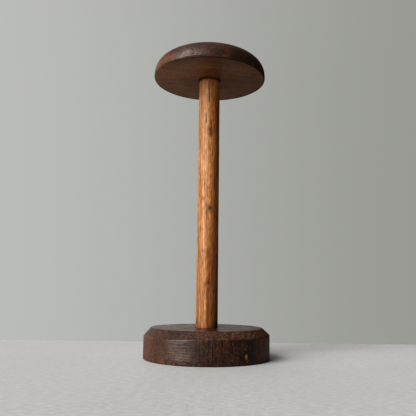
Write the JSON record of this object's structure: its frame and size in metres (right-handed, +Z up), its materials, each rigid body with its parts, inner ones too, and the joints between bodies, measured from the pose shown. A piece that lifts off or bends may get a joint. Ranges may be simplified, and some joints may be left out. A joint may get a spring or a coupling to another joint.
{
  "type": "hat stand",
  "caption": "Turned wooden hat or wig stand: a round chamfered base, a plain dowel post and a domed cap with a flat underside.",
  "frame": {"origin": "centre of the base's underside, on the surface that the stand rests on", "axes": "+Z up along the post, towards the cap; X and Y are equal directions across the round base"},
  "size_m": [0.14, 0.14, 0.3557],
  "materials": {
    "base_wood": "dark walnut stain, worn satin, with scratches and chips",
    "post_wood": "honey stain, satin shellac over straight grain",
    "cap_wood": "dark walnut stain, glossier than the base, worn at the shoulder",
    "screw_steel": "dull aged steel"
  },
  "bodies": {
    "root": {"base": "base_wood", "post": "post_wood", "cap": "cap_wood", "base_screw": "screw_steel"}
  },
  "joints": []
}
